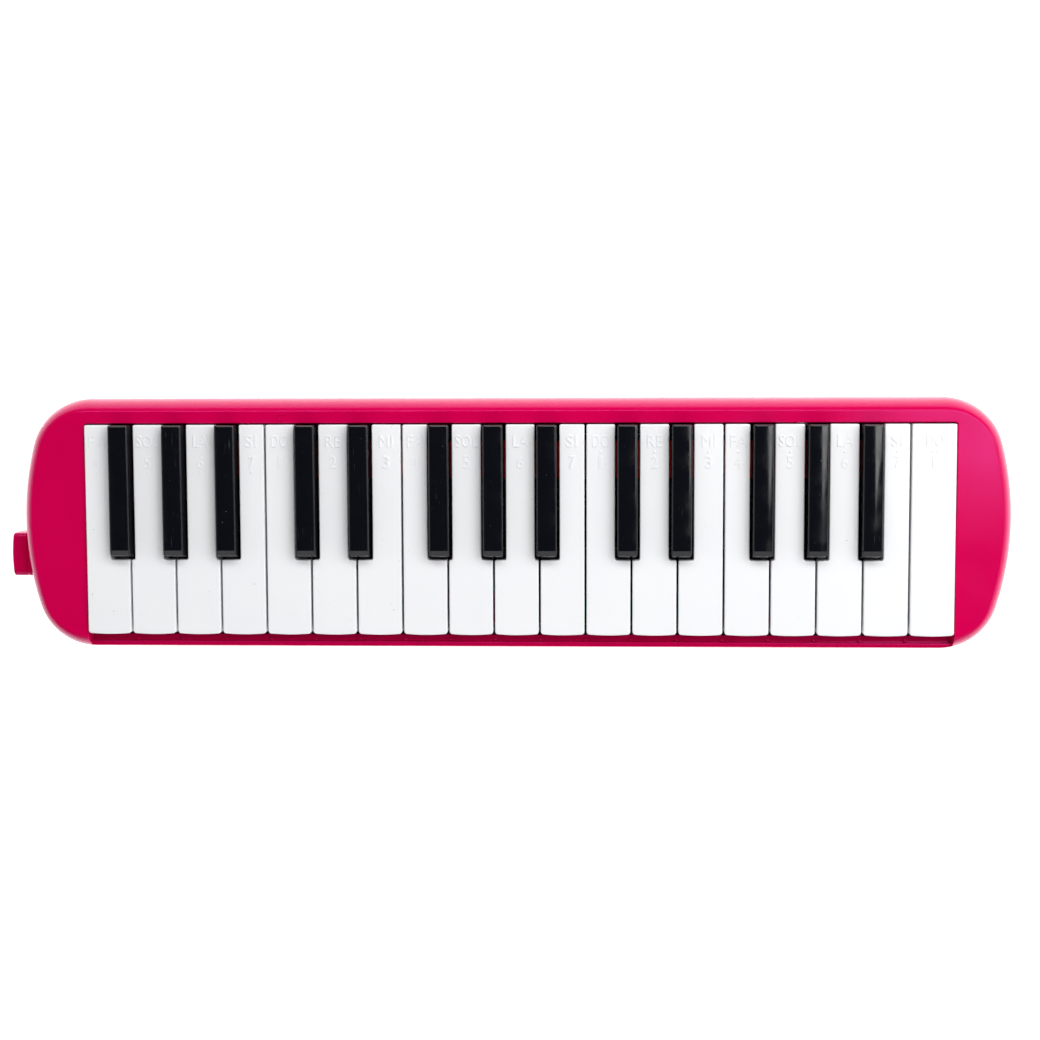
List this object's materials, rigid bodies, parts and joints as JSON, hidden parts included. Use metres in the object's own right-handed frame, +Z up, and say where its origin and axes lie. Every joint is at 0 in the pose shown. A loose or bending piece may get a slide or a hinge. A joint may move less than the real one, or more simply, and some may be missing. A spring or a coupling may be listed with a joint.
{
  "type": "melodica",
  "caption": "Mouth-blown free-reed keyboard in a round-ended glossy case, with sprung see-saw keys over a reed chest, a mouthpiece socket and a drain valve.",
  "frame": {"origin": "on the resting surface, under the middle of the whole instrument including the mouthpiece socket", "axes": "+X along the keyboard towards the high notes, +Y from the player towards the rear rim, +Z up out of the keys"},
  "size_m": [0.434, 0.108, 0.044],
  "materials": {
    "case_pink": "glossy hot-pink ABS, lightly orange-peeled",
    "key_white": "polished white ABS",
    "key_black": "polished black ABS with fine scratches",
    "chest_black": "moulded black ABS",
    "gasket_red": "soft red silicone, matt",
    "reed_brass": "rolled brass sheet",
    "steel": "plain steel",
    "black_rubber": "black rubber",
    "stop_felt": "pressed wool felt"
  },
  "bodies": {
    "case": {"upper_case": "case_pink", "lower_case": "case_pink", "wind_chest": "chest_black", "pallet_gasket": "gasket_red", "reed_plate_bass": "reed_brass", "reed_plate_treble": "reed_brass", "chamber_gasket": "black_rubber", "chamber_tray": "chest_black", "key_axle": "steel", "pivot_rail": "chest_black", "key_spring_comb": "steel", "white_key_felt": "stop_felt", "black_key_felt": "stop_felt", "mouth_socket": "case_pink", "socket_seal": "black_rubber", "drain_cap": "case_pink", "drain_spring": "steel", "case_screw_1": "steel", "case_screw_2": "steel", "case_screw_3": "steel", "case_screw_4": "steel", "chest_screw_1": "steel", "chest_screw_2": "steel", "chest_screw_3": "steel", "chest_screw_4": "steel"},
    "key_f3": {"white_key_f3": "key_white"},
    "key_fs3": {"black_key_fs3": "key_black"},
    "key_g3": {"white_key_g3": "key_white"},
    "key_gs3": {"black_key_gs3": "key_black"},
    "key_a3": {"white_key_a3": "key_white"},
    "key_as3": {"black_key_as3": "key_black"},
    "key_b3": {"white_key_b3": "key_white"},
    "key_c4": {"white_key_c4": "key_white"},
    "key_cs4": {"black_key_cs4": "key_black"},
    "key_d4": {"white_key_d4": "key_white"},
    "key_ds4": {"black_key_ds4": "key_black"},
    "key_e4": {"white_key_e4": "key_white"},
    "key_f4": {"white_key_f4": "key_white"},
    "key_fs4": {"black_key_fs4": "key_black"},
    "key_g4": {"white_key_g4": "key_white"},
    "key_gs4": {"black_key_gs4": "key_black"},
    "key_a4": {"white_key_a4": "key_white"},
    "key_as4": {"black_key_as4": "key_black"},
    "key_b4": {"white_key_b4": "key_white"},
    "key_c5": {"white_key_c5": "key_white"},
    "key_cs5": {"black_key_cs5": "key_black"},
    "key_d5": {"white_key_d5": "key_white"},
    "key_ds5": {"black_key_ds5": "key_black"},
    "key_e5": {"white_key_e5": "key_white"},
    "key_f5": {"white_key_f5": "key_white"},
    "key_fs5": {"black_key_fs5": "key_black"},
    "key_g5": {"white_key_g5": "key_white"},
    "key_gs5": {"black_key_gs5": "key_black"},
    "key_a5": {"white_key_a5": "key_white"},
    "key_as5": {"black_key_as5": "key_black"},
    "key_b5": {"white_key_b5": "key_white"},
    "key_c6": {"white_key_c6": "key_white"},
    "drain_valve": {"drain_button": "case_pink", "drain_seal": "black_rubber"}
  },
  "joints": [
    {"name": "press_f3", "type": "hinge", "parent": "case", "child": "key_f3", "pos_m": [0.0045, 0.012, 0.0292], "axis": [1, 0, 0], "range_deg": [0, 3.9], "stiffness_Nm_per_rad": 0.25, "springref_deg": -5.73},
    {"name": "press_fs3", "type": "hinge", "parent": "case", "child": "key_fs3", "pos_m": [0.0045, 0.012, 0.0292], "axis": [1, 0, 0], "range_deg": [0, 5.2], "stiffness_Nm_per_rad": 0.25, "springref_deg": -5.73},
    {"name": "press_g3", "type": "hinge", "parent": "case", "child": "key_g3", "pos_m": [0.0045, 0.012, 0.0292], "axis": [1, 0, 0], "range_deg": [0, 3.9], "stiffness_Nm_per_rad": 0.25, "springref_deg": -5.73},
    {"name": "press_gs3", "type": "hinge", "parent": "case", "child": "key_gs3", "pos_m": [0.0045, 0.012, 0.0292], "axis": [1, 0, 0], "range_deg": [0, 5.2], "stiffness_Nm_per_rad": 0.25, "springref_deg": -5.73},
    {"name": "press_a3", "type": "hinge", "parent": "case", "child": "key_a3", "pos_m": [0.0045, 0.012, 0.0292], "axis": [1, 0, 0], "range_deg": [0, 3.9], "stiffness_Nm_per_rad": 0.25, "springref_deg": -5.73},
    {"name": "press_as3", "type": "hinge", "parent": "case", "child": "key_as3", "pos_m": [0.0045, 0.012, 0.0292], "axis": [1, 0, 0], "range_deg": [0, 5.2], "stiffness_Nm_per_rad": 0.25, "springref_deg": -5.73},
    {"name": "press_b3", "type": "hinge", "parent": "case", "child": "key_b3", "pos_m": [0.0045, 0.012, 0.0292], "axis": [1, 0, 0], "range_deg": [0, 3.9], "stiffness_Nm_per_rad": 0.25, "springref_deg": -5.73},
    {"name": "press_c4", "type": "hinge", "parent": "case", "child": "key_c4", "pos_m": [0.0045, 0.012, 0.0292], "axis": [1, 0, 0], "range_deg": [0, 3.9], "stiffness_Nm_per_rad": 0.25, "springref_deg": -5.73},
    {"name": "press_cs4", "type": "hinge", "parent": "case", "child": "key_cs4", "pos_m": [0.0045, 0.012, 0.0292], "axis": [1, 0, 0], "range_deg": [0, 5.2], "stiffness_Nm_per_rad": 0.25, "springref_deg": -5.73},
    {"name": "press_d4", "type": "hinge", "parent": "case", "child": "key_d4", "pos_m": [0.0045, 0.012, 0.0292], "axis": [1, 0, 0], "range_deg": [0, 3.9], "stiffness_Nm_per_rad": 0.25, "springref_deg": -5.73},
    {"name": "press_ds4", "type": "hinge", "parent": "case", "child": "key_ds4", "pos_m": [0.0045, 0.012, 0.0292], "axis": [1, 0, 0], "range_deg": [0, 5.2], "stiffness_Nm_per_rad": 0.25, "springref_deg": -5.73},
    {"name": "press_e4", "type": "hinge", "parent": "case", "child": "key_e4", "pos_m": [0.0045, 0.012, 0.0292], "axis": [1, 0, 0], "range_deg": [0, 3.9], "stiffness_Nm_per_rad": 0.25, "springref_deg": -5.73},
    {"name": "press_f4", "type": "hinge", "parent": "case", "child": "key_f4", "pos_m": [0.0045, 0.012, 0.0292], "axis": [1, 0, 0], "range_deg": [0, 3.9], "stiffness_Nm_per_rad": 0.25, "springref_deg": -5.73},
    {"name": "press_fs4", "type": "hinge", "parent": "case", "child": "key_fs4", "pos_m": [0.0045, 0.012, 0.0292], "axis": [1, 0, 0], "range_deg": [0, 5.2], "stiffness_Nm_per_rad": 0.25, "springref_deg": -5.73},
    {"name": "press_g4", "type": "hinge", "parent": "case", "child": "key_g4", "pos_m": [0.0045, 0.012, 0.0292], "axis": [1, 0, 0], "range_deg": [0, 3.9], "stiffness_Nm_per_rad": 0.25, "springref_deg": -5.73},
    {"name": "press_gs4", "type": "hinge", "parent": "case", "child": "key_gs4", "pos_m": [0.0045, 0.012, 0.0292], "axis": [1, 0, 0], "range_deg": [0, 5.2], "stiffness_Nm_per_rad": 0.25, "springref_deg": -5.73},
    {"name": "press_a4", "type": "hinge", "parent": "case", "child": "key_a4", "pos_m": [0.0045, 0.012, 0.0292], "axis": [1, 0, 0], "range_deg": [0, 3.9], "stiffness_Nm_per_rad": 0.25, "springref_deg": -5.73},
    {"name": "press_as4", "type": "hinge", "parent": "case", "child": "key_as4", "pos_m": [0.0045, 0.012, 0.0292], "axis": [1, 0, 0], "range_deg": [0, 5.2], "stiffness_Nm_per_rad": 0.25, "springref_deg": -5.73},
    {"name": "press_b4", "type": "hinge", "parent": "case", "child": "key_b4", "pos_m": [0.0045, 0.012, 0.0292], "axis": [1, 0, 0], "range_deg": [0, 3.9], "stiffness_Nm_per_rad": 0.25, "springref_deg": -5.73},
    {"name": "press_c5", "type": "hinge", "parent": "case", "child": "key_c5", "pos_m": [0.0045, 0.012, 0.0292], "axis": [1, 0, 0], "range_deg": [0, 3.9], "stiffness_Nm_per_rad": 0.25, "springref_deg": -5.73},
    {"name": "press_cs5", "type": "hinge", "parent": "case", "child": "key_cs5", "pos_m": [0.0045, 0.012, 0.0292], "axis": [1, 0, 0], "range_deg": [0, 5.2], "stiffness_Nm_per_rad": 0.25, "springref_deg": -5.73},
    {"name": "press_d5", "type": "hinge", "parent": "case", "child": "key_d5", "pos_m": [0.0045, 0.012, 0.0292], "axis": [1, 0, 0], "range_deg": [0, 3.9], "stiffness_Nm_per_rad": 0.25, "springref_deg": -5.73},
    {"name": "press_ds5", "type": "hinge", "parent": "case", "child": "key_ds5", "pos_m": [0.0045, 0.012, 0.0292], "axis": [1, 0, 0], "range_deg": [0, 5.2], "stiffness_Nm_per_rad": 0.25, "springref_deg": -5.73},
    {"name": "press_e5", "type": "hinge", "parent": "case", "child": "key_e5", "pos_m": [0.0045, 0.012, 0.0292], "axis": [1, 0, 0], "range_deg": [0, 3.9], "stiffness_Nm_per_rad": 0.25, "springref_deg": -5.73},
    {"name": "press_f5", "type": "hinge", "parent": "case", "child": "key_f5", "pos_m": [0.0045, 0.012, 0.0292], "axis": [1, 0, 0], "range_deg": [0, 3.9], "stiffness_Nm_per_rad": 0.25, "springref_deg": -5.73},
    {"name": "press_fs5", "type": "hinge", "parent": "case", "child": "key_fs5", "pos_m": [0.0045, 0.012, 0.0292], "axis": [1, 0, 0], "range_deg": [0, 5.2], "stiffness_Nm_per_rad": 0.25, "springref_deg": -5.73},
    {"name": "press_g5", "type": "hinge", "parent": "case", "child": "key_g5", "pos_m": [0.0045, 0.012, 0.0292], "axis": [1, 0, 0], "range_deg": [0, 3.9], "stiffness_Nm_per_rad": 0.25, "springref_deg": -5.73},
    {"name": "press_gs5", "type": "hinge", "parent": "case", "child": "key_gs5", "pos_m": [0.0045, 0.012, 0.0292], "axis": [1, 0, 0], "range_deg": [0, 5.2], "stiffness_Nm_per_rad": 0.25, "springref_deg": -5.73},
    {"name": "press_a5", "type": "hinge", "parent": "case", "child": "key_a5", "pos_m": [0.0045, 0.012, 0.0292], "axis": [1, 0, 0], "range_deg": [0, 3.9], "stiffness_Nm_per_rad": 0.25, "springref_deg": -5.73},
    {"name": "press_as5", "type": "hinge", "parent": "case", "child": "key_as5", "pos_m": [0.0045, 0.012, 0.0292], "axis": [1, 0, 0], "range_deg": [0, 5.2], "stiffness_Nm_per_rad": 0.25, "springref_deg": -5.73},
    {"name": "press_b5", "type": "hinge", "parent": "case", "child": "key_b5", "pos_m": [0.0045, 0.012, 0.0292], "axis": [1, 0, 0], "range_deg": [0, 3.9], "stiffness_Nm_per_rad": 0.25, "springref_deg": -5.73},
    {"name": "press_c6", "type": "hinge", "parent": "case", "child": "key_c6", "pos_m": [0.0045, 0.012, 0.0292], "axis": [1, 0, 0], "range_deg": [0, 3.9], "stiffness_Nm_per_rad": 0.25, "springref_deg": -5.73},
    {"name": "drain_press", "type": "slide", "parent": "case", "child": "drain_valve", "axis": [0, 0, 1], "range_m": [0, 0.002], "stiffness_N_per_m": 150, "springref_m": -0.004, "deforming": ["drain_spring"]}
  ]
}
